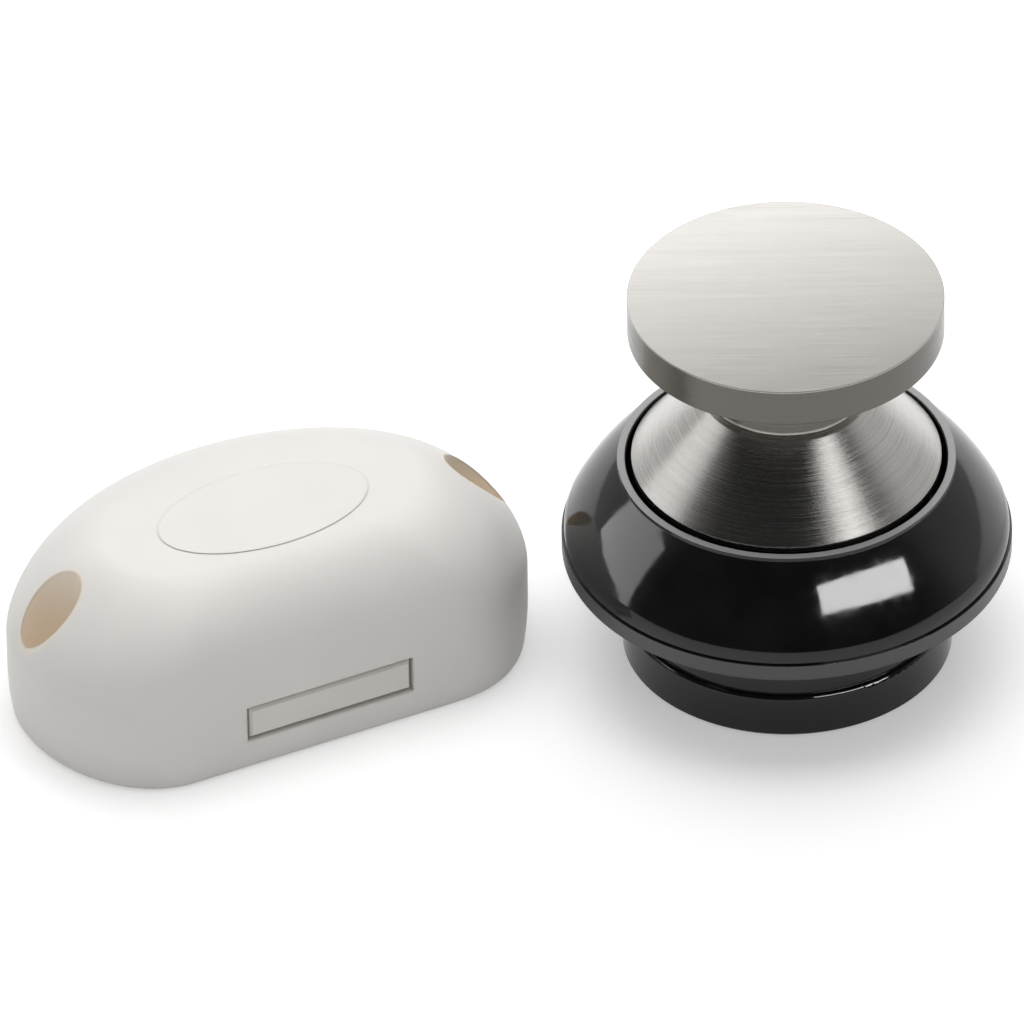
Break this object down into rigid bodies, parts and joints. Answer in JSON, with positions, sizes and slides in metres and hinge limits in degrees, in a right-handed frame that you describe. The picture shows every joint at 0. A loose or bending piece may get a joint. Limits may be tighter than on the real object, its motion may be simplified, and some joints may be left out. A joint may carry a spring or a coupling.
{
  "type": "pushbutton lock",
  "caption": "Pushbutton cupboard lock: rounded white lock case with a flush bolt, and a brushed button in a black rosette on its sleeve.",
  "frame": {"origin": "plunger axis on the door face of the lock case, midway between its two screw holes", "axes": "+X along the lock case towards the button unit, +Y from the bolt to the rounded back, +Z away from the door face; both units stand on z = 0"},
  "size_m": [0.0888, 0.0557, 0.0385],
  "materials": {
    "case_plastic": "fine satin moulded",
    "bolt_plastic": "satin moulded",
    "mechanism_plastic": "natural acetal",
    "zinc_steel": "bright zinc",
    "spring_steel": "drawn wire",
    "brushed_nickel": "brushed nickel",
    "gloss_black": "mirror-gloss black"
  },
  "bodies": {
    "housings": {"lock_case": "case_plastic", "base_plate": "case_plastic", "base_screw_left": "zinc_steel", "base_screw_right": "zinc_steel", "plunger_spring": "spring_steel", "sleeve": "gloss_black", "rosette_ring": "gloss_black", "ring_screw_1": "zinc_steel", "ring_screw_2": "zinc_steel", "ring_screw_3": "zinc_steel", "guide_bush": "mechanism_plastic", "return_spring": "spring_steel"},
    "button": {"button": "brushed_nickel", "stem": "zinc_steel", "stop_washer": "zinc_steel", "retaining_clip": "spring_steel", "spring_washer": "zinc_steel"},
    "plunger": {"plunger": "mechanism_plastic", "latch_pin": "spring_steel"},
    "bolt": {"bolt": "bolt_plastic"}
  },
  "joints": [
    {"name": "button_slide", "type": "slide", "parent": "housings", "child": "button", "axis": [0, 0, -1], "range_m": [0, 0.008], "stiffness_N_per_m": 500, "springref_m": -0.008, "deforming": ["return_spring"]},
    {"name": "plunger_slide", "type": "slide", "parent": "housings", "child": "plunger", "axis": [0, 0, 1], "range_m": [0, 0.0075], "stiffness_N_per_m": 300, "springref_m": -0.006, "deforming": ["plunger_spring"]},
    {"name": "bolt_slide", "type": "slide", "parent": "housings", "child": "bolt", "axis": [0, -1, 0], "range_m": [0, 0.0075]}
  ],
  "couplings": [
    {"joint": "bolt_slide", "follows": "plunger_slide", "ratio": 1}
  ]
}
